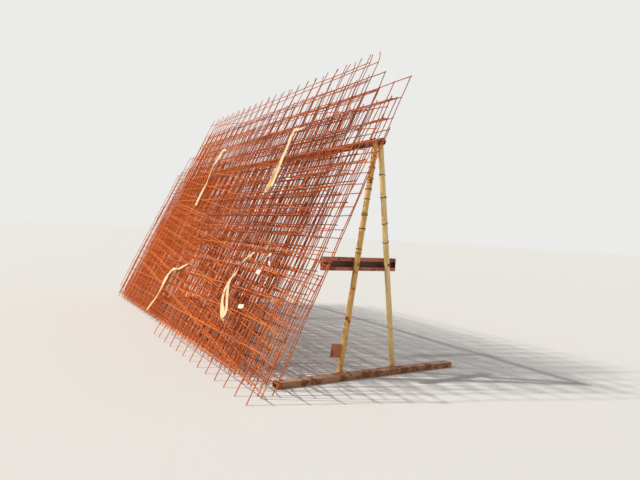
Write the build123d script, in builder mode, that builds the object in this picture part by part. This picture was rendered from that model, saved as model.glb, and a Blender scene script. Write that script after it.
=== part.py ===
from build123d import *
import os
from math import asin, cos, radians, sin, tan

# A stack of large welded rebar mats that leans on a steel trestle rack.
# X runs along the mats, the rack stands behind them towards +Y, Z is up.
# The origin is on the floor, in the middle of the whole object. Millimetres.

# Welded mat
bar_diameter = 10.0
mesh_pitch = 250.0
side_overhang = 50.0
bar_sides = 6
weld_sink = 1.0

# Stack of mats: one group leans on the rack, a narrow mat is propped against the group
lean_angle = 24.0
mat_gap = 0.3
toe_spread = 160.0
low_mats = 2

# One row for each mat, from the front to the rear: right end X, upright bars, level bars,
# free length below the lowest bar, free length above the top bar, turn in its own plane,
# and the side of the mat that its level bars lie on, 1 for the front and -1 for the rear.
# Where the side changes, neighbours nest: bars of both lie beside each other in one layer.
propped_mats = [
    (3500.0, 13, 13, 178.0, 47.0, 0.0, 1),
]
rack_mats = [
    (3400.0, 24, 6, 40.0, 50.0, -7.6, 1),
    (3330.0, 24, 5, 150.0, 60.0, -8.0, -1),
    (2940.0, 24, 13, 60.0, 50.0, -7.6, 1),
    (2545.0, 22, 16, 60.0, 170.0, -0.3, 1),
    (2690.0, 24, 13, 90.0, 50.0, -0.2, -1),
    (2500.0, 24, 8, 190.0, 60.0, -0.6, 1),
    (2860.0, 24, 10, 190.0, 60.0, -1.1, -1),
    (2480.0, 25, 11, 60.0, 60.0, -1.6, 1),
    (2900.0, 24, 15, 60.0, 50.0, 0.5, 1),
    (2560.0, 22, 15, 60.0, 120.0, 0.2, -1),
    (3365.0, 24, 14, 160.0, 50.0, 0.0, 1),
    (3200.0, 24, 13, 180.0, 60.0, 0.3, -1),
    (2575.0, 22, 16, 60.0, 230.0, 0.4, 1),
    (2440.0, 25, 12, 60.0, 80.0, 0.0, -1),
    (2750.0, 24, 14, 160.0, 60.0, -0.2, 1),
    (2930.0, 24, 11, 60.0, 60.0, 0.1, -1),
    (2660.0, 25, 9, 160.0, 70.0, 0.0, 1),
    (3265.0, 24, 12, 60.0, 60.0, 0.0, 1),
]

# Rack: two trestles under one ridge tube
near_trestle_x = 3045.0
trestle_spacing = 5500.0
ridge_height = 2470.0
ridge_diameter = 76.0
ridge_wall = 4.0
ridge_end_overhang = 80.0
leg_diameter = 60.0
leg_wall = 3.5
front_foot_y = 1050.0
rear_foot_y = 1770.0
sill_width = 100.0
sill_height = 60.0
sill_wall = 5.0
sill_end_y = 2550.0
tie_bottom = 1100.0
tie_height = 140.0
tie_flange = 50.0
tie_thickness = 6.0
tie_end_y = 1750.0
seat_gap = 0.3

# Small plate on the foot of the near front leg
plate_width = 120.0
plate_height = 140.0
plate_thickness = 8.0
plate_bottom = 200.0

# Webbing slings on the face of the stack
sling_thickness = 6.0
wide_sling = 100.0
narrow_sling = 60.0

# Worked out from the sizes above
bar_radius = bar_diameter / 2
bar_flat = bar_radius * tan(radians(180 / bar_sides))
mat_thickness = 2 * bar_diameter - weld_sink
level_depth = mat_thickness / 2 - bar_radius
mat_step = mat_thickness + mat_gap
nested_step = bar_diameter + mat_gap
mats = propped_mats + rack_mats
lean = radians(lean_angle)


def rack_depth(count):
    """Depth of the first mats of the rack group, less what they save where neighbours nest."""
    sides = [row[-1] for row in rack_mats[:count]]
    nested = sum(a != b for a, b in zip(sides, sides[1:]))
    return count * mat_step - nested * (mat_step - nested_step)


def mat_length(uprights):
    return (uprights - 1) * mesh_pitch + 2 * side_overhang


def mat_height(levels, foot_overhang, top_overhang):
    return foot_overhang + (levels - 1) * mesh_pitch + top_overhang


def lowest_foot(uprights, turn):
    """How far a mat that turns about its right corner dips below or lifts from that corner."""
    foot_xs = (bar_flat - side_overhang, side_overhang - bar_flat - mat_length(uprights))
    return min(x * sin(radians(turn)) for x in foot_xs)


def highest_end(uprights, levels, foot_overhang, top_overhang, turn):
    """Height up the slope of the highest bar end of a mat that stands on the floor."""
    turn = radians(turn)
    end_xs = (-side_overhang, side_overhang - mat_length(uprights))
    top = mat_height(levels, foot_overhang, top_overhang) * cos(turn)
    return top + max(x * sin(turn) for x in end_xs)


# The propped mat reaches over the low mats and touches the next one with its highest bar end
prop_size = propped_mats[-1][1:-1]
prop_height = highest_end(*prop_size) - lowest_foot(prop_size[0], prop_size[-1])
tall_mat_depth = rack_depth(low_mats + 1) - mat_step
prop_reach = toe_spread * cos(lean) + tall_mat_depth - mat_gap
prop_lean = lean + asin(prop_reach / prop_height)


def rack_line(height):
    """Y of the slanted plane that the last mat and the rack meet in, at a height."""
    return height * tan(lean) + rack_depth(len(rack_mats)) / cos(lean)


def slope_plane(toe_y, slope):
    """Plane of a leaning face: its X runs along the mats, its Y up the slope."""
    return Plane(origin=(0, toe_y, 0), x_dir=(1, 0, 0), z_dir=(0, -cos(slope), sin(slope)))


def mat_seat(index):
    """Slope and toe line of a mat's group, and the mat's middle measured out from them."""
    steps = len(propped_mats) - 1 - index
    if steps >= 0:
        return prop_lean, -toe_spread, steps * mat_step + mat_thickness / 2
    return lean, 0, mat_gap + mat_thickness / 2 - rack_depth(-steps)


def mat_plane(index):
    """Plane in which the level and upright bars of a mat are welded together."""
    right_end, uprights, _, _, _, turn, side = mats[index]
    slope, toe_y, outward = mat_seat(index)
    inner_side = side * level_depth + bar_radius
    rise = (inner_side - outward) * tan(slope) - lowest_foot(uprights, turn)
    face = slope_plane(toe_y, slope).offset(outward)
    corner = face.from_local_coords((right_end, rise, 0))
    along = face.x_dir * cos(radians(turn)) + face.y_dir * sin(radians(turn))
    return Plane(corner, x_dir=along, z_dir=face.z_dir)


def mat_corners(index):
    """Outer corners of a mat, for the size of the whole stack."""
    _, uprights, levels, foot_overhang, _, _, side = mats[index]
    length = mat_length(uprights)
    low = foot_overhang - bar_radius
    top = foot_overhang + (levels - 1) * mesh_pitch + bar_radius
    foot_front = bar_radius - side * level_depth
    plane = mat_plane(index)
    ends = [(x, y, 0) for x in (0, -length) for y in (low, top)]
    feet = [(x, 0, foot_front) for x in (-side_overhang, side_overhang - length)]
    return [plane.from_local_coords(corner) for corner in ends + feet]


corners = [corner for index in range(len(mats)) for corner in mat_corners(index)]
left_side = min(corner.X for corner in corners)
right_side = max(corner.X for corner in corners)
front_side = min(corner.Y for corner in corners)
middle = Vector((left_side + right_side) / 2, (front_side + sill_end_y) / 2, 0)


def centred(plane):
    """Move a plane from the stack's own corner to the middle of the object."""
    return Plane(plane.origin - middle, x_dir=plane.x_dir, z_dir=plane.z_dir)


def build_mat(index):
    """Level bars on one side, upright bars on the other, fused at every crossing."""
    _, uprights, levels, foot_overhang, top_overhang, _, side = mats[index]
    weld = centred(mat_plane(index))
    across = Plane(weld.origin, x_dir=weld.y_dir, z_dir=-weld.x_dir)
    upwards = Plane(weld.origin, x_dir=weld.x_dir, z_dir=weld.y_dir)
    depth = side * level_depth
    flat_side_out = 90 - 180 / bar_sides
    with BuildPart() as mat:
        with BuildSketch(across):
            with Locations([(foot_overhang + i * mesh_pitch, -depth) for i in range(levels)]):
                RegularPolygon(bar_radius, bar_sides, major_radius=False, rotation=flat_side_out)
        extrude(amount=mat_length(uprights))
        with BuildSketch(upwards):
            with Locations([(-side_overhang - i * mesh_pitch, depth) for i in range(uprights)]):
                RegularPolygon(bar_radius, bar_sides, major_radius=False, rotation=flat_side_out)
        extrude(amount=mat_height(levels, foot_overhang, top_overhang))
    return mat


def ridge_centre(x):
    """The ridge tube lies against the back of the last mat."""
    return Vector(x, rack_line(ridge_height) + ridge_diameter / 2 / cos(lean), ridge_height)


def build_ridge():
    start = ridge_centre(near_trestle_x + ridge_end_overhang)
    end_plane = centred(Plane(start, x_dir=(0, 1, 0), z_dir=(-1, 0, 0)))
    with BuildPart() as ridge:
        with BuildSketch(end_plane):
            Circle(ridge_diameter / 2)
            Circle(ridge_diameter / 2 - ridge_wall, mode=Mode.SUBTRACT)
        extrude(amount=trestle_spacing + 2 * ridge_end_overhang)
    return ridge


def build_leg(x, foot_y, top_side):
    """A tube from the floor to the ridge, coped round the ridge tube, clear of the mats."""
    ridge = ridge_centre(x)
    foot = Vector(x, foot_y, 0)
    top = ridge + Vector(0, top_side * (leg_diameter + seat_gap) / 2, 0)
    axis = top - foot
    foot_plane = centred(Plane(foot, x_dir=(1, 0, 0), z_dir=axis))
    ridge_plane = centred(Plane(ridge - Vector(leg_diameter, 0, 0), x_dir=(0, 1, 0), z_dir=(1, 0, 0)))
    mat_back = centred(slope_plane(rack_line(0), lean))
    with BuildPart() as leg:
        with BuildSketch(foot_plane.offset(-leg_diameter)):
            Circle(leg_diameter / 2)
            Circle(leg_diameter / 2 - leg_wall, mode=Mode.SUBTRACT)
        extrude(amount=axis.length + leg_diameter)
        with BuildSketch(ridge_plane):
            Circle(ridge_diameter / 2 + seat_gap)
        extrude(amount=2 * leg_diameter, mode=Mode.SUBTRACT)
        split(bisect_by=mat_back, keep=Keep.BOTTOM)
        split(bisect_by=Plane.XY, keep=Keep.TOP)
    return leg


def build_sill(x, side):
    """Box section on the floor, on the outer side of the legs, from the mats to behind them."""
    start = rack_line(sill_height)
    sill_x = x - side * (leg_diameter / 2 + seat_gap + sill_width / 2)
    end_plane = centred(Plane((sill_x, start, sill_height / 2), x_dir=(1, 0, 0), z_dir=(0, 1, 0)))
    with BuildPart() as sill:
        with BuildSketch(end_plane):
            Rectangle(sill_width, sill_height)
            Rectangle(sill_width - 2 * sill_wall, sill_height - 2 * sill_wall, mode=Mode.SUBTRACT)
        extrude(amount=sill_end_y - start)
    return sill


def build_tie(x, side):
    """Channel across both legs, open towards them, with a plate closing its rear end."""
    start = rack_line(tie_bottom + tie_height)
    face_x = x + side * (leg_diameter / 2 + seat_gap)
    end_plane = centred(Plane((face_x, start, tie_bottom), x_dir=(side, 0, 0), z_dir=(0, -side, 0)))
    length = (start - tie_end_y) * side
    with BuildPart() as tie:
        with BuildSketch(end_plane):
            Rectangle(tie_flange, tie_height, align=(Align.MIN, Align.MIN))
            with Locations((0, tie_thickness)):
                Rectangle(
                    tie_flange - tie_thickness,
                    tie_height - 2 * tie_thickness,
                    align=(Align.MIN, Align.MIN),
                    mode=Mode.SUBTRACT,
                )
        extrude(amount=length)
        with BuildSketch(end_plane.offset(length)):
            Rectangle(tie_flange, tie_height, align=(Align.MIN, Align.MIN))
        extrude(amount=side * tie_thickness)
    return tie


def build_leg_plate(x):
    """Flat plate on the mat side of the front leg."""
    foot = Vector(x, front_foot_y, 0)
    top = ridge_centre(x) - Vector(0, (leg_diameter + seat_gap) / 2, 0)
    axis = (top - foot).normalized()
    along_leg = plate_bottom / axis.Z
    face = centred(Plane(foot + axis * along_leg, x_dir=(1, 0, 0), z_dir=axis))
    with BuildPart() as plate:
        with BuildSketch(face):
            with Locations((0, -leg_diameter / 2 - seat_gap)):
                Rectangle(plate_thickness, plate_width, align=(Align.CENTER, Align.MAX))
        extrude(amount=plate_height)
    return plate


def build_sling(index, route, width):
    """Flat webbing that hangs on the face of a mat."""
    slope, toe_y, outward = mat_seat(index)
    face = centred(slope_plane(toe_y, slope).offset(outward + mat_thickness / 2 + seat_gap))
    with BuildPart() as sling:
        with BuildSketch(face):
            with BuildLine() as path:
                Polyline(*route)
            trace(path.line, line_width=width)
        extrude(amount=sling_thickness)
    return sling


os.makedirs("parts", exist_ok=True)
pieces = {}

for index in range(len(mats)):
    pieces[f"mat_{index + 1:02d}"] = build_mat(index)

pieces["ridge_tube"] = build_ridge()
for name, x, side in (
    ("near", near_trestle_x, -1),
    ("far", near_trestle_x - trestle_spacing, 1),
):
    pieces[f"{name}_front_leg"] = build_leg(x, front_foot_y, -1)
    pieces[f"{name}_rear_leg"] = build_leg(x, rear_foot_y, 1)
    pieces[f"{name}_tie"] = build_tie(x, side)
    pieces[f"{name}_sill"] = build_sill(x, side)
pieces["leg_plate"] = build_leg_plate(near_trestle_x)

# One row for each sling: mat it hangs on, its route on that mat's face, its width
front_mat = 0
low_mat = len(propped_mats)
tall_mat = low_mat + low_mats
slings = {
    "sling_upper_left": (
        tall_mat,
        ((-1155, 3120), (-1110, 2920), (-1205, 2650), (-1245, 2405), (-1195, 2095)),
        wide_sling,
    ),
    "sling_upper_right": (
        front_mat,
        ((1510, 3130), (1560, 2850), (1590, 2605), (1650, 2340), (1605, 2175)),
        wide_sling,
    ),
    "sling_lower_right": (
        front_mat,
        ((2120, 1345), (2010, 1210), (1955, 1050), (1970, 875), (2050, 710), (2240, 600)),
        narrow_sling,
    ),
    "sling_lower_left": (
        low_mat,
        ((-205, 950), (-575, 865), (-655, 710), (-650, 500), (-695, 345), (-835, 130)),
        narrow_sling,
    ),
}
for name, (index, route, width) in slings.items():
    pieces[name] = build_sling(index, route, width)

for name, piece in pieces.items():
    piece.part.label = name
    export_step(piece.part, f"parts/{name}.step", write_pcurves=False)
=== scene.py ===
# %% [markdown]
# # A stack of rebar mats on its rack
# Nineteen welded mats of ribbed bar lean on a rack of two trestles and a ridge tube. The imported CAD
# model is the fixed frame: it says how large everything is and where it stands. This script keeps
# most of the rack's solids and gives them finishes. It models the mats, the slings and the rack's
# two ties again, with what the CAD leaves out: round, slightly bent bars, twisted bands and
# turned-in lips. Bolts, tying wire, foot welds and tags are added. A camera, a floor and lamps
# come first.

# %% Load the frame
import math
import random

import bpy
from mathutils import Matrix, Vector


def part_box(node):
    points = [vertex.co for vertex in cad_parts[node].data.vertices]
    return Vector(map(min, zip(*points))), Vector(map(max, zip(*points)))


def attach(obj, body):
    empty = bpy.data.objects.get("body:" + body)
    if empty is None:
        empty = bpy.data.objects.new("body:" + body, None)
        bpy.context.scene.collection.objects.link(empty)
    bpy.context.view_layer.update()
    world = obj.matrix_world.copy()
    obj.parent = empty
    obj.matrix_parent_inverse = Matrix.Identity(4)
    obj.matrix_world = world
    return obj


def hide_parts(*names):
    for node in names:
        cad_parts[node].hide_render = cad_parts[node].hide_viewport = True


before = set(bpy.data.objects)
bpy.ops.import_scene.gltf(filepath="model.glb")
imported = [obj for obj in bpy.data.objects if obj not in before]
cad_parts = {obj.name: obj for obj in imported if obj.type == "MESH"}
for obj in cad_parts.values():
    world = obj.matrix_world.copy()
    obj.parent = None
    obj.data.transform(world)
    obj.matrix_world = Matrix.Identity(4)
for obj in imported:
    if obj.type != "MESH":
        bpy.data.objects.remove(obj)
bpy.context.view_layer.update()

# %% [markdown]
# ## Camera
# The photograph was taken at eye height, close to the near end of the stack, so the far end is much
# smaller. The place, the turn and the lens come from the vanishing points of the rack and the mats.
# Lens and sensor are given for the long side of the picture.

# %% Camera
camera_data = bpy.data.cameras.new("photo_camera")
camera_data.lens = 28.69
camera_data.sensor_width = 36.0
camera = bpy.data.objects.new("photo_camera", camera_data)
bpy.context.scene.collection.objects.link(camera)
camera.matrix_world = Matrix((
    (0.53272, -0.04350, 0.84517, 7.36936),
    (0.84428, -0.04143, -0.53429, -3.17056),
    (0.05825, 0.99819, 0.01466, 1.48),
    (0.0, 0.0, 0.0, 1.0),
))
bpy.context.scene.camera = camera
print("camera at", [round(v, 3) for v in camera.matrix_world.translation])

# %% [markdown]
# ## Colours and nodes
# Every colour is written as it looks on a screen, in hex, and one function turns it into the linear
# numbers that Blender works with. One more function adds a shader node with its values and links.
# Sizes of patterns are in metres: noise of scale s repeats about every 1 / s metres.

# %% Helpers for materials
def linear(hex_colour):
    """Screen colour such as "b0562c" to Blender's linear RGBA."""
    parts = [int(hex_colour[i:i + 2], 16) / 255 for i in (0, 2, 4)]
    return (*[p / 12.92 if p <= 0.04045 else ((p + 0.055) / 1.055) ** 2.4 for p in parts], 1.0)


def add_node(tree, kind, inputs=None, **settings):
    """Add a node, set it up, and give its inputs a value or a link."""
    made = tree.nodes.new(kind)
    for name, value in settings.items():
        setattr(made, name, value)
    for name, value in (inputs or {}).items():
        if isinstance(value, bpy.types.NodeSocket):
            tree.links.new(value, made.inputs[name])
        else:
            made.inputs[name].default_value = value
    return made


def new_material(name, **values):
    """A material with one Principled shader whose constant sockets are set here."""
    material = bpy.data.materials.new(name)
    material.use_nodes = True
    shader = material.node_tree.nodes["Principled BSDF"]
    for socket, value in values.items():
        shader.inputs[socket.replace("_", " ")].default_value = value
    return material, material.node_tree, shader


# Sockets of the Mix node when it mixes colours
MIX, COLOUR_A, COLOUR_B, MIXED = 0, 6, 7, 2
print("socket numbers of the Mix node", MIX, COLOUR_A, COLOUR_B, MIXED)

# %% [markdown]
# ## Floor, background and lamps
# The stack stands on a plain pale floor. The world gives soft light from all round, and only the
# camera and shiny surfaces see it as a pale background. A sun lamp shines from the left over the
# camera's shoulder, as in the photograph. Its disc is wider than the real sun's, so that shadows
# have soft edges, and it lights the floor evenly up to the horizon.

# %% Floor
bpy.ops.object.select_all(action="DESELECT")
bpy.ops.mesh.primitive_plane_add(size=300.0, location=(0, 0, 0))
floor = bpy.context.object
floor.name = "floor"
floor_finish, tree, shader = new_material("matt_pale_floor", Roughness=0.9)
shader.inputs["Base Color"].default_value = linear("cfcfcd")
floor.data.materials.append(floor_finish)
print("floor", floor.dimensions[:])

# %% World
world = bpy.data.worlds.new("soft_room")
bpy.context.scene.world = world
world.use_nodes = True
tree = world.node_tree
tree.nodes.clear()
ray = add_node(tree, "ShaderNodeLightPath")
sees = add_node(tree, "ShaderNodeMath", {0: ray.outputs["Is Camera Ray"], 1: ray.outputs["Is Glossy Ray"]},
                operation="MAXIMUM")
sees = add_node(tree, "ShaderNodeMath", {0: sees.outputs[0], 1: ray.outputs["Is Transmission Ray"]},
                operation="MAXIMUM")
room = add_node(tree, "ShaderNodeBackground", {"Color": linear("f4f5f7"), "Strength": 0.42})
shown = add_node(tree, "ShaderNodeBackground", {"Color": linear("ebebe9"), "Strength": 1.0})
both = add_node(tree, "ShaderNodeMixShader", {0: sees.outputs[0], 1: room.outputs[0], 2: shown.outputs[0]})
add_node(tree, "ShaderNodeOutputWorld", {"Surface": both.outputs[0]})
print("world nodes", len(tree.nodes))

# %% Sun
sun_data = bpy.data.lights.new("soft_sun", "SUN")
sun_data.energy = 3.9
sun_data.angle = math.radians(1.8)
sun_data.color = linear("fff9f0")[:3]
sun = bpy.data.objects.new("soft_sun", sun_data)
bpy.context.scene.collection.objects.link(sun)
sun.rotation_euler = Vector((-0.45, -0.80, 0.95)).to_track_quat("Z", "Y").to_euler()
bpy.context.scene.view_settings.view_transform = "Standard"

# %% [markdown]
# ## Rust on ribbed bar
# Reinforcing bar is hot-rolled steel with ribs. Left in the rain it grows a matt skin of iron
# oxide, bright orange where it is fresh and nearly brown where it is old. Rust is no metal to the
# eye, so the shader isn't metallic and stays rough. Large patches, finger-long streaks and a fine
# grain are three sizes of the same noise. The far low end of the stack is brighter than the near
# top, so a slope along X and Z leads from the brighter colours to the darker ones. The ribs are a
# bump that runs round the bar on its UV map, where V is the length along the bar in metres.

# %% Rust
# Ribs stand about 7 mm apart on the real bar; here 12 mm, so that they still show
RIB_PITCH = 0.012
# At scale 1 a Wave texture passes 10 radians in a metre
WAVE_RADIANS = 10.0
# Patches of about 0.6 m, streaks as long as a finger and grain of 6 mm
PATCH_SIZE, STREAK_SIZE, GRAIN_SIZE = 1 / 1.6, 1 / 15, 1 / 160


def bar_rust(name, fresh, common, old, age):
    """Rust in three colours; a higher age gives more of the old one."""
    material, tree, shader = new_material(name, Roughness=0.86, Metallic=0.0)
    place = add_node(tree, "ShaderNodeTexCoord")
    patches, streaks, grain = (
        add_node(tree, "ShaderNodeTexNoise", {"Vector": place.outputs["Object"], "Scale": 1 / size, "Detail": detail})
        for size, detail in ((PATCH_SIZE, 3.0), (STREAK_SIZE, 4.0), (GRAIN_SIZE, 2.0)))
    axes = add_node(tree, "ShaderNodeSeparateXYZ", {0: place.outputs["Object"]})
    along = add_node(tree, "ShaderNodeMapRange", {"Value": axes.outputs[0], "From Min": -3.5, "From Max": 3.5,
                                                  "To Min": 0.30, "To Max": -0.12})
    upwards = add_node(tree, "ShaderNodeMapRange", {"Value": axes.outputs[2], "From Max": 3.6,
                                                    "To Min": 0.12, "To Max": -0.10})
    far_low_slope = add_node(tree, "ShaderNodeMath", {0: along.outputs[0], 1: upwards.outputs[0]}, operation="ADD")
    patch_and_slope = add_node(tree, "ShaderNodeMath", {0: patches.outputs[0], 1: far_low_slope.outputs[0]}, operation="ADD")
    wide = add_node(tree, "ShaderNodeMapRange", {"Value": patch_and_slope.outputs[0], "From Min": 0.40, "From Max": 0.70})
    # Farther from the far low end, more streaks take the old colour
    streak_and_slope = add_node(tree, "ShaderNodeMath", {0: far_low_slope.outputs[0], 1: -0.45, 2: streaks.outputs[0]},
                          operation="MULTIPLY_ADD")
    narrow = add_node(tree, "ShaderNodeMapRange", {"Value": streak_and_slope.outputs[0], "From Min": 0.60 - age,
                                                   "From Max": 0.80 - age})
    base = add_node(tree, "ShaderNodeMix", {MIX: wide.outputs[0], COLOUR_A: linear(common), COLOUR_B: linear(fresh)},
                    data_type="RGBA")
    aged = add_node(tree, "ShaderNodeMix", {MIX: narrow.outputs[0], COLOUR_A: base.outputs[MIXED],
                                            COLOUR_B: linear(old)}, data_type="RGBA")
    tree.links.new(aged.outputs[MIXED], shader.inputs["Base Color"])
    ribs_at = add_node(tree, "ShaderNodeMapping", {"Vector": place.outputs["UV"], "Scale": (RIB_PITCH, 1.0, 0.0)})
    ribs = add_node(tree, "ShaderNodeTexWave", {"Vector": ribs_at.outputs[0],
                                                "Scale": 2 * math.pi / (WAVE_RADIANS * RIB_PITCH)},
                    bands_direction="DIAGONAL")
    rough = add_node(tree, "ShaderNodeBump", {"Height": grain.outputs[0], "Distance": 0.0006, "Strength": 0.6})
    ribbed = add_node(tree, "ShaderNodeBump", {"Height": ribs.outputs[1], "Distance": 0.0008, "Strength": 0.7,
                                               "Normal": rough.outputs[0]})
    tree.links.new(ribbed.outputs[0], shader.inputs["Normal"])
    return material


fresh_rust = bar_rust("fresh_orange_rust_on_bar", "dc772e", "bc5b28", "72361b", 0.05)
# A darker copy of the rust: partly older rust, partly painted shade for mats at the back
old_rust_and_painted_shade = bar_rust("old_brown_rust_and_painted_shade_on_bar", "c2602c", "954825", "582b18", 0.10)
print("rust materials", fresh_rust.name, old_rust_and_painted_shade.name)

# %% [markdown]
# ## The nineteen mats
# A mat is a sheet of level bars laid on upright bars and welded at every crossing, with a quarter of
# a metre between bars both ways. The table repeats the CAD's mats, in metres, from the front of the
# stack to the rack. Each row gives the right end, the number of upright and level bars, the free
# length of the uprights below and above, how far the mat has turned in its own plane, and the side
# its level bars lie on. Where that side changes, a mat is turned over, and the two neighbours nest.

# %% Sizes of the mats
BAR = 0.010
PITCH = 0.25
SIDE_END = 0.05
WELD_SINK = 0.001
MAT_GAP = 0.0003
MAT_THICKNESS = 2 * BAR - WELD_SINK
LEVEL_DEPTH = MAT_THICKNESS / 2 - BAR / 2
FULL_STEP = MAT_THICKNESS + MAT_GAP
NESTED_STEP = BAR + MAT_GAP
TOE_SPREAD = 0.16
LOW_MATS = 2
LEAN = math.radians(24.0)
# The CAD's origin is the middle of the whole object's outline, seen from the mats' middle and toes
MIDDLE_X, MIDDLE_Y = -0.04436, 1.19054
# The CAD's bars have six sides, and a foot stands on the ends of its lowest side
FOOT_EDGE = BAR / 2 * math.tan(math.radians(30.0))

mats = [
    (3.500, 13, 13, 0.178, 0.047, 0.0, 1),
    (3.400, 24, 6, 0.040, 0.050, -7.6, 1),
    (3.330, 24, 5, 0.150, 0.060, -8.0, -1),
    (2.940, 24, 13, 0.060, 0.050, -7.6, 1),
    (2.545, 22, 16, 0.060, 0.170, -0.3, 1),
    (2.690, 24, 13, 0.090, 0.050, -0.2, -1),
    (2.500, 24, 8, 0.190, 0.060, -0.6, 1),
    (2.860, 24, 10, 0.190, 0.060, -1.1, -1),
    (2.480, 25, 11, 0.060, 0.060, -1.6, 1),
    (2.900, 24, 15, 0.060, 0.050, 0.5, 1),
    (2.560, 22, 15, 0.060, 0.120, 0.2, -1),
    (3.365, 24, 14, 0.160, 0.050, 0.0, 1),
    (3.200, 24, 13, 0.180, 0.060, 0.3, -1),
    (2.575, 22, 16, 0.060, 0.230, 0.4, 1),
    (2.440, 25, 12, 0.060, 0.080, 0.0, -1),
    (2.750, 24, 14, 0.160, 0.060, -0.2, 1),
    (2.930, 24, 11, 0.060, 0.060, 0.1, -1),
    (2.660, 25, 9, 0.160, 0.070, 0.0, 1),
    (3.265, 24, 12, 0.060, 0.060, 0.0, 1),
]


def mat_length(uprights):
    return (uprights - 1) * PITCH + 2 * SIDE_END


def mat_height(levels, foot, top):
    return foot + (levels - 1) * PITCH + top


def rack_depth(count):
    """Depth of the first mats that lean on the rack; nested neighbours take less."""
    sides = [row[-1] for row in mats[1:1 + count]]
    nested = sum(a != b for a, b in zip(sides, sides[1:]))
    return count * FULL_STEP - nested * (FULL_STEP - NESTED_STEP)


# The front mat leans on the fourth one, over the two low ones between them
prop_reach = TOE_SPREAD * math.cos(LEAN) + rack_depth(LOW_MATS + 1) - FULL_STEP - MAT_GAP
PROP_LEAN = LEAN + math.asin(prop_reach / mat_height(*mats[0][2:5]))


def mat_seat(index):
    """Slope, toe line and outward place of a mat, as in the CAD."""
    if index == 0:
        return PROP_LEAN, -TOE_SPREAD, MAT_THICKNESS / 2
    return LEAN, 0.0, MAT_GAP + MAT_THICKNESS / 2 - rack_depth(index)


def slope_matrix(slope, toe_y, outward):
    """From flat coordinates (along, up the slope, outward) to where the stack leans."""
    return Matrix((
        (1.0, 0.0, 0.0, -MIDDLE_X),
        (0.0, math.sin(slope), -math.cos(slope), toe_y - MIDDLE_Y - outward * math.cos(slope)),
        (0.0, math.cos(slope), math.sin(slope), outward * math.sin(slope)),
        (0.0, 0.0, 0.0, 1.0),
    ))


print("front mat leans", round(math.degrees(PROP_LEAN), 2), "degrees; stack", round(rack_depth(18), 4), "deep")

# %% [markdown]
# A single bar is a thin cylinder, cut into short lengths so that it can bend. Its UV map gets metres
# along V. Each kind of bar in a mat is modelled once and then copied.

# %% One bar
BAR_SIDES = 8
CUT_LENGTH = 0.1


def select_only(*things):
    bpy.ops.object.select_all(action="DESELECT")
    for thing in things:
        thing.select_set(True)
    bpy.context.view_layer.objects.active = things[0]


def add_bar(length, axis):
    """A round bar that starts at the origin and runs along -X or +Y."""
    middle = (-length / 2, 0, 0) if axis == "X" else (0, length / 2, 0)
    turn = (0, math.pi / 2, 0) if axis == "X" else (math.pi / 2, 0, 0)
    bpy.ops.object.select_all(action="DESELECT")
    bpy.ops.mesh.primitive_cylinder_add(vertices=BAR_SIDES, radius=BAR / 2, depth=length,
                                        location=middle, rotation=turn)
    bar = bpy.context.object
    bpy.ops.object.transform_apply(location=True, rotation=True, scale=True)
    coordinates = [0.0] * (2 * len(bar.data.loops))
    bar.data.uv_layers[0].data.foreach_get("uv", coordinates)
    coordinates[1::2] = [(v - 0.5) * 2 * length for v in coordinates[1::2]]
    bar.data.uv_layers[0].data.foreach_set("uv", coordinates)
    side = 0 if axis == "X" else 1
    for edge in bar.data.edges:
        ends = [bar.data.vertices[i].co[side] for i in edge.vertices]
        edge.select = abs(ends[0] - ends[1]) > length / 2
    for part in (bar.data.vertices, bar.data.polygons):
        part.foreach_set("select", [False] * len(part))
    # Edge mode comes first: in vertex mode the ends' edges would be taken too
    bpy.context.tool_settings.mesh_select_mode = (False, True, False)
    bpy.ops.object.mode_set(mode="EDIT")
    bpy.ops.mesh.subdivide(number_cuts=round(length / CUT_LENGTH) - 1)
    bpy.ops.object.mode_set(mode="OBJECT")
    return bar


def copy_to(thing, place):
    """A copy with its own mesh at another place."""
    made = thing.copy()
    made.data = thing.data.copy()
    made.location = place
    bpy.context.scene.collection.objects.link(made)
    return made


# %% [markdown]
# Free ends get knocked when mats are lifted. A bend is made as by hand: the vertices past a point
# are selected and turned a little about it, twice in a row at the top, so the end curves over. Only
# ends longer than a hand is wide are bent.

# %% Bent ends
TOP_BEND, FOOT_BEND, LONG_END = 26.0, 5.0, 0.1


def bend_end(bar, start, end, degrees, cuts):
    """Curve an upright sideways from one height on towards its end."""
    for cut in range(cuts):
        height = start + (end - start) * cut / cuts
        for vertex in bar.data.vertices:
            vertex.select = (vertex.co.y - height) * (end - start) > 0
        for part in (bar.data.edges, bar.data.polygons):
            part.foreach_set("select", [False] * len(part))
        select_only(bar)
        bpy.ops.object.mode_set(mode="EDIT")
        bpy.ops.mesh.select_mode(type="VERT")
        bpy.ops.transform.rotate(value=math.radians(degrees / cuts), orient_axis="Z",
                                 center_override=(0, height, 0))
        bpy.ops.object.mode_set(mode="OBJECT")


print("bends of", TOP_BEND, "degrees at the top and", FOOT_BEND, "at the foot")

# %% [markdown]
# A resistance weld squeezes the two bars into each other and leaves a small bulge. One low bead of
# few faces is enough for it, and two Array modifiers put it at each crossing.

# %% Weld beads
BEAD_RADIUS, BEAD_FLATNESS = 0.0085, 0.55


def repeat(thing, count, offset):
    """Array modifier with a fixed step, applied."""
    select_only(thing)
    array = thing.modifiers.new("repeat", "ARRAY")
    array.count = count
    array.use_relative_offset = False
    array.use_constant_offset = True
    array.constant_offset_displace = offset
    bpy.ops.object.modifier_apply(modifier=array.name)


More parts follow.
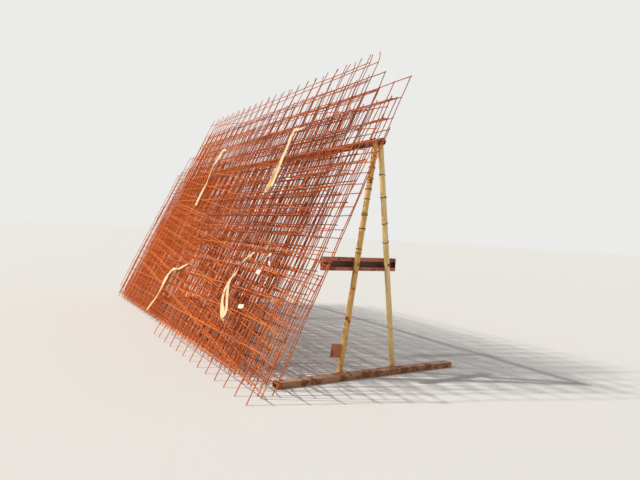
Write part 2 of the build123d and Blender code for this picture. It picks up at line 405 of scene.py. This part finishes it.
def add_welds(uprights, levels, foot):
    """A bulge at every crossing of a mat that lies flat."""
    bpy.ops.object.select_all(action="DESELECT")
    bpy.ops.mesh.primitive_uv_sphere_add(segments=6, ring_count=4, radius=BEAD_RADIUS,
                                         location=(-SIDE_END, foot, 0))
    bead = bpy.context.object
    bead.scale = (1.0, 1.0, BEAD_FLATNESS)
    bpy.ops.object.transform_apply(location=True, rotation=True, scale=True)
    repeat(bead, uprights, (-PITCH, 0, 0))
    repeat(bead, levels, (0, PITCH, 0))
    return bead


print("weld bead", BEAD_RADIUS, "m in radius")

# %% [markdown]
# Bars are never quite straight. Two Displace modifiers sway a mat in its own plane, and a third one
# bows all mats outwards by the same pattern, so that they still lie on each other. Neighbours whose
# uprights or level bars nest in one layer share the pattern that moves those bars, so they keep
# apart. A vertex group holds the feet still, which keeps them on the floor. It goes by the mat's own
# height, so the low edge of a turned mat bows less than the mat beside it, and some bars cross there.

# %% Sway and bow
def cloud_texture(name, size):
    texture = bpy.data.textures.new(name, "CLOUDS")
    texture.noise_scale = size
    texture.noise_depth = 1
    return texture


sway_along = cloud_texture("sway_along", 0.45)
sway_up = cloud_texture("sway_up", 0.6)
bow_out = cloud_texture("bow_out", 1.9)
SWAY_ALONG, SWAY_UP, BOW = 0.044, 0.0308, 0.028
# The bow is nearly all outwards: a level of 0.2 in the pattern stays where it is
MIDDLE, BOW_REST = 0.5, 0.2
HELD_HEIGHT, WEIGHT_STEPS = 0.5, 20


def hold_feet(thing):
    """Weights that grow from 0 at the lower edge to 1 at the held height."""
    group = thing.vertex_groups.new(name="free")
    by_weight = {}
    for vertex in thing.data.vertices:
        level = min(max(vertex.co.y / HELD_HEIGHT, 0.0), 1.0)
        by_weight.setdefault(round(level * WEIGHT_STEPS) / WEIGHT_STEPS, []).append(vertex.index)
    for weight, indices in by_weight.items():
        group.add(indices, weight, "REPLACE")


def displace(thing, texture, axis, strength, middle):
    """Displace modifier along one axis of the scene, applied."""
    select_only(thing)
    modifier = thing.modifiers.new("displace", "DISPLACE")
    modifier.texture = texture
    modifier.texture_coords = "GLOBAL"
    modifier.space = "GLOBAL"
    modifier.direction = axis
    modifier.strength = strength
    modifier.mid_level = middle
    modifier.vertex_group = "free"
    bpy.ops.object.modifier_apply(modifier=modifier.name)


def sway_patterns():
    """Numbers of the patterns along and up of each mat; one changes where its bars don't nest."""
    along, up, numbers = 0, 0, [(0, 0)]
    for row, row_behind in zip(mats, mats[1:]):
        along += row[-1] <= row_behind[-1]
        up += row[-1] >= row_behind[-1]
        numbers.append((along, up))
    return numbers


def place_mesh(thing, matrix):
    """Move a mesh by a matrix and leave its object at the origin."""
    thing.matrix_world = matrix
    select_only(thing)
    bpy.ops.object.transform_apply(location=True, rotation=True, scale=True)


print("textures", [t.name for t in bpy.data.textures])

# %% [markdown]
# Now the mats are put together one after another. Each has straight uprights and two kinds of bent
# ones, which a seeded choice deals out. Bars and welds are joined, and the mat turns in its plane,
# sways, bows and leans. Seven mats, most of them at the back, are darker: partly older rust, partly
# painted shade for the back of the stack.

# %% Build the mats
# Mats with the darker rust, most at the back: partly older rust, partly painted shade
# Counted from 0, as Python does
OLD_RUST_AND_PAINTED_SHADE_MATS = (5, 7, 9, 12, 14, 16, 17)
# Bars end a little inside the CAD's ends, because they sway, and no two end quite alike
INSET, UNEVEN = 0.028, 0.006
# Above this turn, in radians, a mat stands on one corner
CORNER_TURN = 0.03


def lowest_foot(uprights, turn):
    feet = (FOOT_EDGE - SIDE_END, SIDE_END - FOOT_EDGE - mat_length(uprights))
    return min(x * math.sin(turn) for x in feet)


def upright_kinds(height, foot, top, foot_bend):
    """One straight upright and two whose free ends are bent either way."""
    kinds = [add_bar(height - INSET, "Y") for _ in range(3)]
    for bar, side in zip(kinds[1:], (1, -1)):
        if top > LONG_END:
            bend_end(bar, height - top, height, side * TOP_BEND, 2)
        if foot > LONG_END:
            bend_end(bar, foot, 0.0, side * foot_bend, 1)
    return kinds


def build_mat(index):
    right_end, uprights, levels, foot, top, turn, side = mats[index]
    turn = math.radians(turn)
    length, height = mat_length(uprights), mat_height(levels, foot, top)
    depth = side * LEVEL_DEPTH
    level_bar = add_bar(length - 2 * INSET, "X")
    # A turned mat stands on one corner, so its feet stay straight
    kinds = upright_kinds(height, foot, top, FOOT_BEND if abs(turn) < CORNER_TURN else 0.0)
    bars = [copy_to(level_bar, (-INSET + random.uniform(-UNEVEN, UNEVEN), foot + i * PITCH, depth))
            for i in range(levels)]
    bars += [copy_to(random.choice(kinds + kinds[:1] * 3), (-SIDE_END - i * PITCH, 0, -depth))
             for i in range(uprights)]
    for spare in [level_bar] + kinds:
        bpy.data.objects.remove(spare)
    select_only(add_welds(uprights, levels, foot), *bars)
    bpy.ops.object.join()
    mat = bpy.context.object
    bpy.ops.object.transform_apply(location=True, rotation=True, scale=True)
    mat.name = mat.data.name = f"bent_mat_{index + 1:02d}"
    hold_feet(mat)
    slope, toe_y, outward = mat_seat(index)
    rise = (side * LEVEL_DEPTH + BAR / 2 - outward) * math.tan(slope) - lowest_foot(uprights, turn)
    place_mesh(mat, Matrix.Translation((right_end, rise, 0)) @ Matrix.Rotation(turn, 4, "Z"))
    along, up = sway_patterns()[index]
    for texture, axis, strength, pattern in ((sway_along, "X", SWAY_ALONG, along), (sway_up, "Y", SWAY_UP, up)):
        # Another place in the clouds is another pattern
        mat.location = (11.0 * pattern, 5.0 * pattern, 0)
        displace(mat, texture, axis, strength, MIDDLE)
    mat.location = (0, 0, 0)
    displace(mat, bow_out, "Z", BOW, BOW_REST)
    place_mesh(mat, slope_matrix(slope, toe_y, outward))
    mat.data.materials.clear()
    # The darker rust is partly painted shade towards the back of the stack
    mat.data.materials.append(old_rust_and_painted_shade if index in OLD_RUST_AND_PAINTED_SHADE_MATS else fresh_rust)
    select_only(mat)
    bpy.ops.object.shade_smooth_by_angle(angle=math.radians(50))
    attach(mat, "root")
    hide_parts(f"mat_{index + 1:02d}")
    triangles = sum(len(p.vertices) - 2 for p in mat.data.polygons)
    print(mat.name, "triangles", triangles)
    return triangles


random.seed(7)
print("mats, triangles in all", sum(build_mat(index) for index in range(len(mats))))

# %% [markdown]
# ## Slings
# Lifting slings are woven polyester webbing, a flat cream band about a hand wide. They hang from the
# mats by their loops, and the loose ends twist, so the band shows narrow and wide in turn. Each one
# is a curve on the mat's face with its own width and twist at every point. Cream yarn, rusty stains
# where the band touches the bars and the ridges of the weave are what the eye sees.

# %% Webbing
# The real weave repeats every 2 mm; here 8 mm, so that it shows from close by
WEAVE = 0.008
# Stains are about as long as a finger
STAIN_SIZE = 1 / 13


def webbing(name, clean, dirty, dirt_from):
    """Woven band in a clean and a dirty colour; dirt starts at a level of the noise."""
    material, tree, shader = new_material(name, Roughness=0.85, Sheen_Weight=0.2)
    place = add_node(tree, "ShaderNodeTexCoord")
    stain = add_node(tree, "ShaderNodeTexNoise", {"Vector": place.outputs["Object"], "Scale": 1 / STAIN_SIZE,
                                                  "Detail": 5.0})
    stained = add_node(tree, "ShaderNodeMapRange", {"Value": stain.outputs[0], "From Min": dirt_from,
                                                    "From Max": dirt_from + 0.2})
    mixed = add_node(tree, "ShaderNodeMix", {MIX: stained.outputs[0], COLOUR_A: linear(clean),
                                             COLOUR_B: linear(dirty)}, data_type="RGBA")
    weave = add_node(tree, "ShaderNodeTexWave", {"Vector": place.outputs["Object"],
                                                 "Scale": 2 * math.pi / (WAVE_RADIANS * WEAVE)},
                     bands_direction="DIAGONAL")
    woven = add_node(tree, "ShaderNodeBump", {"Height": weave.outputs[1], "Distance": 0.0006, "Strength": 0.4})
    tree.links.new(mixed.outputs[MIXED], shader.inputs["Base Color"])
    tree.links.new(woven.outputs[0], shader.inputs["Normal"])
    return material


cream_webbing = webbing("cream_polyester_webbing", "d6c596", "b07f48", 0.52)
# A darker orange copy for the strand that hangs in shade: painted shade, with rust stains on it
stained_and_painted_shade_webbing = webbing("rust_stained_and_painted_shade_webbing", "cfa05a", "a86633", 0.42)
print("webbing materials", cream_webbing.name, stained_and_painted_shade_webbing.name)

# %% Section of the band
# One metre wide, so that a point's radius on the curve is the band's width there in metres
BAND_FLATNESS, CURVE_STEPS = 0.055, 8
bpy.ops.object.select_all(action="DESELECT")
bpy.ops.curve.primitive_bezier_circle_add(radius=0.5)
band = bpy.context.object
band.name = "sling_section"
band.scale = (1.0, BAND_FLATNESS, 1.0)
bpy.ops.object.transform_apply(location=False, rotation=False, scale=True)
print("section of the band", [round(v, 3) for v in band.dimensions])


def add_strand(mat_index, finish, stations):
    """A band through stations of along, up, outward, width and twist in degrees."""
    data = bpy.data.curves.new("strand", "CURVE")
    data.dimensions = "3D"
    data.twist_mode = "Z_UP"
    data.bevel_mode = "OBJECT"
    data.bevel_object = band
    data.use_fill_caps = True
    data.resolution_u = CURVE_STEPS
    spline = data.splines.new("NURBS")
    spline.points.add(len(stations) - 1)
    for point, (along, up, out, width, twist) in zip(spline.points, stations):
        point.co = (along, up, out, 1.0)
        point.radius = width
        point.tilt = math.radians(twist)
    spline.order_u = 3
    spline.use_endpoint_u = True
    strand = bpy.data.objects.new("strand", data)
    bpy.context.scene.collection.objects.link(strand)
    select_only(strand)
    bpy.ops.object.convert(target="MESH")
    strand = bpy.context.object
    hold_feet(strand)
    displace(strand, bow_out, "Z", BOW, BOW_REST)
    slope, toe_y, outward = mat_seat(mat_index)
    place_mesh(strand, slope_matrix(slope, toe_y, outward + MAT_THICKNESS / 2))
    strand.data.materials.clear()
    strand.data.materials.append(finish)
    return strand


def finish_sling(name, node, *strands):
    select_only(*strands)
    if len(strands) > 1:
        bpy.ops.object.join()
    sling = bpy.context.object
    sling.name = sling.data.name = name
    bpy.ops.object.shade_smooth_by_angle(angle=math.radians(60))
    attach(sling, "root")
    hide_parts(node)
    print(name, "triangles", sum(len(p.vertices) - 2 for p in sling.data.polygons))


# %% [markdown]
# The upper left sling is wide at its ends and rolled up between them. The upper right one hangs
# double, and its rear strand shows at the low end in a darker orange: painted shade, with rust
# stains from the bars on it. The numbers of a station are its place along and up the mat and
# outwards from it, the width and the twist.

# %% Upper slings
finish_sling("hanging_sling_upper_left", "sling_upper_left", add_strand(3, cream_webbing, [
    (-0.94, 3.055, 0.004, 0.030, 0), (-1.030, 3.066, 0.012, 0.050, 0), (-1.080, 3.070, 0.018, 0.080, 0),
    (-1.100, 2.960, 0.018, 0.120, 0), (-1.130, 2.840, 0.018, 0.110, 0), (-1.150, 2.740, 0.020, 0.060, 10),
    (-1.105, 2.580, 0.020, 0.050, 5), (-1.030, 2.410, 0.020, 0.052, 5), (-1.055, 2.300, 0.018, 0.090, 0),
    (-1.070, 2.130, 0.014, 0.110, 0), (-1.075, 1.990, 0.010, 0.105, 0),
]))
finish_sling("hanging_sling_upper_right", "sling_upper_right", add_strand(0, cream_webbing, [
    (1.780, 3.118, 0.004, 0.030, 30), (1.700, 3.100, 0.010, 0.045, 0), (1.600, 3.090, 0.016, 0.040, 20),
    (1.520, 3.110, 0.022, 0.055, 0), (1.540, 3.000, 0.022, 0.060, 0), (1.588, 2.850, 0.022, 0.058, 0),
    (1.632, 2.630, 0.022, 0.050, 0), (1.690, 2.415, 0.022, 0.050, 0), (1.735, 2.230, 0.018, 0.055, 0),
]), add_strand(0, stained_and_painted_shade_webbing, [
    (1.540, 2.990, 0.014, 0.050, 0), (1.572, 2.800, 0.014, 0.055, 0), (1.590, 2.600, 0.014, 0.062, 0),
    (1.610, 2.400, 0.014, 0.085, 0), (1.640, 2.230, 0.013, 0.105, 0), (1.645, 2.150, 0.010, 0.100, 0),
]))

# %% [markdown]
# The lower right sling comes out of the mesh as a thin tail, parts into two strands and ends in a
# knot. The lower left one is knotted at the top, opens wide and runs out as a narrow, twisted end.

# %% Lower slings
finish_sling("hanging_sling_lower_right", "sling_lower_right", add_strand(0, cream_webbing, [
    (2.185, 1.352, 0.004, 0.020, 0), (2.130, 1.315, 0.012, 0.040, 20), (2.050, 1.250, 0.012, 0.045, 0),
    (2.000, 1.175, 0.012, 0.028, 30), (2.035, 1.090, 0.016, 0.040, 10), (1.985, 1.000, 0.020, 0.048, 0),
    (1.970, 0.930, 0.022, 0.048, 5), (1.985, 0.860, 0.026, 0.046, 0), (2.040, 0.770, 0.026, 0.042, 0),
    (2.110, 0.690, 0.022, 0.050, 0), (2.200, 0.625, 0.018, 0.085, 0), (2.265, 0.580, 0.014, 0.060, 0),
    (2.320, 0.545, 0.006, 0.018, 0),
]), add_strand(0, cream_webbing, [
    (2.010, 1.020, 0.026, 0.036, 0), (1.985, 0.950, 0.026, 0.042, 0), (2.080, 0.850, 0.026, 0.038, -15),
    (2.165, 0.760, 0.022, 0.038, -5), (2.265, 0.680, 0.022, 0.042, 0), (2.305, 0.620, 0.020, 0.060, 0),
    (2.285, 0.575, 0.018, 0.055, 15), (2.250, 0.560, 0.014, 0.040, 0),
]))
finish_sling("hanging_sling_lower_left", "sling_lower_left", add_strand(1, cream_webbing, [
    (-0.010, 0.990, 0.004, 0.022, 0), (-0.120, 0.945, 0.010, 0.040, 0), (-0.260, 0.890, 0.010, 0.042, 0),
    (-0.400, 0.862, 0.012, 0.024, 20), (-0.520, 0.860, 0.020, 0.055, 10), (-0.560, 0.780, 0.020, 0.060, 0),
    (-0.615, 0.680, 0.020, 0.140, 0), (-0.612, 0.580, 0.020, 0.100, 0), (-0.598, 0.460, 0.020, 0.050, 5),
    (-0.640, 0.335, 0.018, 0.050, 0), (-0.735, 0.215, 0.014, 0.055, 0), (-0.810, 0.130, 0.010, 0.060, 0),
]), add_strand(1, cream_webbing, [
    (-0.360, 0.872, 0.022, 0.040, 0), (-0.470, 0.850, 0.030, 0.045, 0), (-0.505, 0.790, 0.026, 0.036, 20),
    (-0.580, 0.730, 0.024, 0.040, 0),
]))
bpy.data.objects.remove(band)

# %% [markdown]
# ## The rack
# The rack's solids have the right shape already, so they stay and get finishes. The legs are steel
# tube under old ochre paint, which has chipped down to rust. The ties are rolled steel in red-brown
# primer, and on the sills dust lies over rusty primer. The ridge tube has lost its paint and carries
# a dark rust skin. The eye gets faded patches, chips with a raised edge, and a duller sheen where
# the paint is gone.

# %% Old paint over rust
# Faded patches of about 0.3 m, and chips of 0.1 m with finer ones in their detail
FADED_SIZE, CHIP_SIZE = 1 / 3, 1 / 9


def worn_paint(name, paint, faded, rust, wear, stroke):
    """Paint that has faded in strokes along a piece and chipped down to rust; less wear, more chips."""
    material, tree, shader = new_material(name, Metallic=0.0)
    place = add_node(tree, "ShaderNodeTexCoord")
    strokes = add_node(tree, "ShaderNodeMapping", {"Vector": place.outputs["Object"], "Scale": stroke})
    fading = add_node(tree, "ShaderNodeTexNoise", {"Vector": strokes.outputs[0], "Scale": 1 / FADED_SIZE,
                                                   "Detail": 5.0})
    chips = add_node(tree, "ShaderNodeTexNoise", {"Vector": place.outputs["Object"], "Scale": 1 / CHIP_SIZE,
                                                  "Detail": 8.0, "Roughness": 0.65})
    faded_by = add_node(tree, "ShaderNodeMapRange", {"Value": fading.outputs[0], "From Min": 0.4, "From Max": 0.65})
    chipped = add_node(tree, "ShaderNodeMapRange", {"Value": chips.outputs[0], "From Min": wear,
                                                    "From Max": wear + 0.05})
    coat = add_node(tree, "ShaderNodeMix", {MIX: faded_by.outputs[0], COLOUR_A: linear(paint),
                                            COLOUR_B: linear(faded)}, data_type="RGBA")
    worn = add_node(tree, "ShaderNodeMix", {MIX: chipped.outputs[0], COLOUR_A: coat.outputs[MIXED],
                                            COLOUR_B: linear(rust)}, data_type="RGBA")
    rough = add_node(tree, "ShaderNodeMapRange", {"Value": chipped.outputs[0], "To Min": 0.5, "To Max": 0.9})
    edge = add_node(tree, "ShaderNodeBump", {"Height": chipped.outputs[0], "Distance": 0.0008, "Strength": 0.5},
                    invert=True)
    tree.links.new(worn.outputs[MIXED], shader.inputs["Base Color"])
    tree.links.new(rough.outputs[0], shader.inputs["Roughness"])
    tree.links.new(edge.outputs[0], shader.inputs["Normal"])
    return material


upright, along_y, even = (9.0, 9.0, 0.7), (9.0, 0.7, 9.0), (1.0, 1.0, 1.0)
ochre_paint = worn_paint("brushed_ochre_paint_on_tube", "d8a44c", "dcb974", "9c4d27", 0.57, upright)
# The rear legs get a lighter copy of the ochre paint: painted light, so that they look sunlit
ochre_paint_painted_lighter = worn_paint("ochre_paint_painted_lighter_on_rear_legs", "e8c27c", "f2d9a0", "b07a4c", 0.61, upright)
sill_dust = worn_paint("dusty_rust_on_sill", "a06a4c", "bd8c68", "84502f", 0.50, along_y)
# The tie's primer is lighter than it is: painted light for its side that the sun doesn't reach
primer_painted_lighter = worn_paint("red_primer_painted_lighter_on_tie", "aa5a45", "bd7860", "82442c", 0.54, along_y)
plate_rust = worn_paint("orange_rust_on_plate", "b3623c", "c07a50", "7a3d26", 0.55, even)
# Dark rust skin of the ridge tube; inside the ties the same dark is painted shade
dark_rust_and_painted_shade = worn_paint("dark_rust_skin_and_channel_painted_shade", "5a3022", "6f3d29", "84462a", 0.55, even)

rack_finishes = {
    "ridge_tube": dark_rust_and_painted_shade, "leg_plate": plate_rust,
    "near_front_leg": ochre_paint, "far_front_leg": ochre_paint,
    "near_rear_leg": ochre_paint_painted_lighter, "far_rear_leg": ochre_paint_painted_lighter,
    "near_sill": sill_dust, "far_sill": sill_dust,
}
for node_name, finish in rack_finishes.items():
    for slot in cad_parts[node_name].material_slots:
        slot.material = finish
print("rack nodes finished", len(rack_finishes))

# %% [markdown]
# The tie is a cold-rolled channel whose edges are turned in, so that a dark slot shows between two
# lit lips. The CAD has the plain channel. Here each tie is cut from a box of the same size: the
# slot's side is taken away by an inset, and the inside is pushed in. Its inner faces get the dark
# rust of the ridge tube as painted shade in the channel, and its primer is painted lighter than it
# is, as painted light where the sun doesn't reach.

# %% Lipped ties
LIP, WALL = 0.040, 0.006


def add_tie(node_name, open_side):
    """A box as large as the CAD's tie, hollowed through a slot in its open side."""
    corner_low, corner_high = (Vector(corner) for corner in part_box(node_name))
    size = corner_high - corner_low
    bpy.ops.object.select_all(action="DESELECT")
    bpy.ops.mesh.primitive_cube_add(size=1.0, location=(corner_low + corner_high) / 2, scale=size)
    tie = bpy.context.object
    bpy.ops.object.transform_apply(location=True, rotation=True, scale=True)
    open_x = corner_high.x if open_side > 0 else corner_low.x
    for part in (tie.data.vertices, tie.data.edges):
        part.foreach_set("select", [False] * len(part))
    for face in tie.data.polygons:
        face.select = abs(face.center.x - open_x) < 0.001
    bpy.ops.object.mode_set(mode="EDIT")
    bpy.ops.mesh.select_mode(type="FACE")
    bpy.ops.mesh.inset(thickness=WALL)
    bpy.ops.transform.resize(value=(1, 1, (size.z - 2 * LIP) / (size.z - 2 * WALL)))
    bpy.ops.mesh.extrude_region_move(TRANSFORM_OT_translate={"value": (-open_side * WALL, 0, 0)})
    bpy.ops.mesh.extrude_region_move(TRANSFORM_OT_translate={"value": (0, 0, 0)})
    bpy.ops.transform.resize(value=(1, 1, (size.z - 2 * WALL) / (size.z - 2 * LIP)))
    bpy.ops.mesh.extrude_region_move(TRANSFORM_OT_translate={"value": (-open_side * (size.x - 2 * WALL), 0, 0)})
    bpy.ops.mesh.select_all(action="SELECT")
    bpy.ops.mesh.normals_make_consistent(inside=False)
    bpy.ops.object.mode_set(mode="OBJECT")
    bevel = tie.modifiers.new("rolled_edges", "BEVEL")
    bevel.width, bevel.segments, bevel.limit_method = 0.003, 2, "ANGLE"
    bpy.ops.object.modifier_apply(modifier=bevel.name)
    tie.name = tie.data.name = "lipped_" + node_name
    # Outside, primer painted lighter as painted light; the inner faces take the dark rust as painted shade
    tie.data.materials.clear()
    tie.data.materials.append(primer_painted_lighter)
    tie.data.materials.append(dark_rust_and_painted_shade)
    for face in tie.data.polygons:
        depths = [*(face.center - corner_low), *(corner_high - face.center)]
        face.material_index = int(min(depths) > 0.9 * WALL)
    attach(tie, "root")
    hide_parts(node_name)
    print(tie.name, "triangles", sum(len(p.vertices) - 2 for p in tie.data.polygons))


add_tie("near_tie", 1)
add_tie("far_tie", -1)

# %% [markdown]
# Each leg is bolted to its tie. A hexagon head, a round washer and the end of the thread show. One
# bolt is modelled with its axis along X and copied to the other places. Zinc that has gone dull and
# begun to rust gives it a grey and brown skin.

# %% Bolts
worn_zinc = worn_paint("dull_zinc_on_bolt", "86766a", "6d5a4e", "74402a", 0.46, even)
# Outer sides of the near and far legs, and the middle of the ties
NEAR_X, FAR_X, TIE_Z = 3.12036, -2.44164, 1.17
LEG_TOP = 2.47


def leg_y(side, height):
    """Y of a leg's axis at a height: side -1 for the front leg, 1 for the rear one."""
    foot, top = (-0.14054, 0.16297) if side < 0 else (0.57946, 0.22327)
    return foot + (top - foot) * height / LEG_TOP


def add_bolt():
    """Washer, head and thread end in a row along X."""
    parts = []
    for sides, radius, depth, x in (
        (24, 0.016, 0.003, 0.0015), (6, 0.0135, 0.009, 0.0075), (16, 0.007, 0.008, 0.016),
    ):
        bpy.ops.object.select_all(action="DESELECT")
        bpy.ops.mesh.primitive_cylinder_add(vertices=sides, radius=radius, depth=depth, location=(x, 0, 0),
                                            rotation=(0, math.pi / 2, 0))
        parts.append(bpy.context.object)
    select_only(*parts)
    bpy.ops.object.join()
    bolt = bpy.context.object
    bpy.ops.object.transform_apply(location=True, rotation=True, scale=True)
    bevel = bolt.modifiers.new("edges", "BEVEL")
    bevel.width, bevel.segments = 0.0008, 1
    bpy.ops.object.modifier_apply(modifier=bevel.name)
    return bolt


def ride_along(thing, name, finish):
    """Name a small piece, finish it and let it move with the object."""
    thing.name = thing.data.name = name
    thing.data.materials.clear()
    thing.data.materials.append(finish)
    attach(thing, "root")


first_bolt = add_bolt()
bolts = [copy_to(first_bolt, (NEAR_X, leg_y(side, TIE_Z), TIE_Z)) for side in (-1, 1)]
for side in (-1, 1):
    far_bolt = copy_to(first_bolt, (FAR_X, leg_y(side, TIE_Z), TIE_Z))
    far_bolt.rotation_euler = (0, 0, math.pi)
    bolts.append(far_bolt)
bpy.data.objects.remove(first_bolt)
select_only(*bolts)
bpy.ops.object.join()
bpy.ops.object.transform_apply(location=True, rotation=True, scale=True)
bpy.ops.object.shade_smooth_by_angle(angle=math.radians(35))
ride_along(bpy.context.object, "tie_bolts", worn_zinc)
print("bolts", len(bolts))

# %% [markdown]
# Loops of thin tying wire are left on the near legs, most of them on the upper half of the front one,
# and some lie across each other. A loop is a torus a little larger than the leg, tipped out of
# square with it. Annealed wire has no coat: the eye sees a dull black skin that turns brown. On the
# front leg the loops also stand for the dark bands of the mats' shadows, so they are partly painted
# shadow.

# %% Tying wire
# Dark loops: partly real wire, partly painted shadow of the mats' bars on the front leg
black_wire_and_painted_shadow = worn_paint("black_annealed_wire_and_painted_shadow", "2b2623", "3a302b", "5d3a28", 0.55, even)
NEAR_LEG_X, LOOP_RADIUS, WIRE_RADIUS = 3.08936, 0.0335, 0.0034
loops = []
for side, height, tip in (
    (-1, 2.20, 8), (-1, 2.08, -6), (-1, 1.97, 10), (-1, 1.86, 4), (-1, 1.70, -9), (-1, 1.55, 7),
    (-1, 1.33, -5), (-1, 1.29, 6), (1, 2.13, -10), (1, 1.90, 12), (1, 1.62, 16), (-1, 2.19, -12),
    (-1, 2.07, 14), (-1, 1.96, -4), (-1, 1.69, 12), (-1, 1.54, -10), (1, 1.89, -8), (1, 1.42, 20),
):
    lean = math.atan2(leg_y(side, 0.0) - leg_y(side, LEG_TOP), LEG_TOP)
    bpy.ops.object.select_all(action="DESELECT")
    bpy.ops.mesh.primitive_torus_add(location=(NEAR_LEG_X, leg_y(side, height), height),
                                     rotation=(lean + math.radians(tip), math.radians(tip / 2), 0),
                                     major_radius=LOOP_RADIUS, minor_radius=WIRE_RADIUS,
                                     major_segments=32, minor_segments=6)
    loops.append(bpy.context.object)
select_only(*loops)
bpy.ops.object.join()
bpy.ops.object.transform_apply(location=True, rotation=True, scale=True)
bpy.ops.object.shade_smooth()
ride_along(bpy.context.object, "tying_wire_and_painted_shadow_loops", black_wire_and_painted_shadow)
print("wire loops", len(loops))

# %% [markdown]
# Each leg's foot is welded to its sill. A fillet weld is a rough ring of steel in the corner between
# the two. A flattened torus stands for it, and a Displace modifier makes it lumpy.

# %% Foot welds
SILL_TOP, FAR_LEG_X = 0.0603, -2.41064
welds = []
for leg_x in (NEAR_LEG_X, FAR_LEG_X):
    for side in (-1, 1):
        bpy.ops.object.select_all(action="DESELECT")
        bpy.ops.mesh.primitive_torus_add(location=(leg_x, leg_y(side, SILL_TOP), SILL_TOP + 0.0015),
                                         major_radius=0.0320, minor_radius=0.0045, major_segments=48,
                                         minor_segments=8)
        welds.append(bpy.context.object)
        welds[-1].scale = (1.0, 1.04, 0.8)
select_only(*welds)
bpy.ops.object.join()
bpy.ops.object.transform_apply(location=True, rotation=True, scale=True)
lumps = bpy.context.object.modifiers.new("lumps", "DISPLACE")
lumps.texture = cloud_texture("weld_lumps", 0.012)
lumps.strength, lumps.mid_level = 0.0025, 0.5
bpy.ops.object.modifier_apply(modifier=lumps.name)
bpy.ops.object.shade_smooth()
ride_along(bpy.context.object, "foot_welds", sill_dust)
print("foot welds", len(welds))

# %% [markdown]
# A few small blank tags are caught in the front mat, bleached nearly white. A tag is stiff plastic
# that has warped in the sun: a fine grid gets its thickness from a Solidify modifier and its warp from
# a Displace modifier. Faded colour with rusty smears keeps it from looking new.

# %% Tags
tag_plastic = worn_paint("bleached_plastic_on_tag", "e4dccb", "d6c8aa", "b07c50", 0.58, even)
TAG_THICKNESS, WARP = 0.0015, 0.030
warp = cloud_texture("tag_warp", 0.05)
tags = []
for along, up, out, length, height, turn in (
    (2.551, 0.745, 0.016, 0.100, 0.046, 8), (2.528, 1.140, 0.016, 0.095, 0.052, -6),
    (2.584, 1.345, 0.012, 0.050, 0.034, 30), (2.667, 1.253, 0.010, 0.050, 0.030, -40),
    (2.036, 2.320, 0.012, 0.100, 0.020, 3),
):
    bpy.ops.object.select_all(action="DESELECT")
    bpy.ops.mesh.primitive_grid_add(x_subdivisions=12, y_subdivisions=8, size=1.0, location=(along, up, out),
                                    rotation=(0, 0, math.radians(turn)))
    tag = bpy.context.object
    tag.scale = (length, height, 1.0)
    bpy.ops.object.transform_apply(location=True, rotation=True, scale=True)
    hold_feet(tag)
    displace(tag, warp, "Z", WARP, MIDDLE)
    displace(tag, bow_out, "Z", BOW, BOW_REST)
    thick = tag.modifiers.new("thickness", "SOLIDIFY")
    thick.thickness = TAG_THICKNESS
    bpy.ops.object.modifier_apply(modifier=thick.name)
    slope, toe_y, outward = mat_seat(0)
    place_mesh(tag, slope_matrix(slope, toe_y, outward + MAT_THICKNESS / 2))
    tags.append(tag)
select_only(*tags)
bpy.ops.object.join()
bpy.ops.object.shade_smooth_by_angle(angle=math.radians(50))
ride_along(bpy.context.object, "caught_tags", tag_plastic)
print("tags", len(tags))
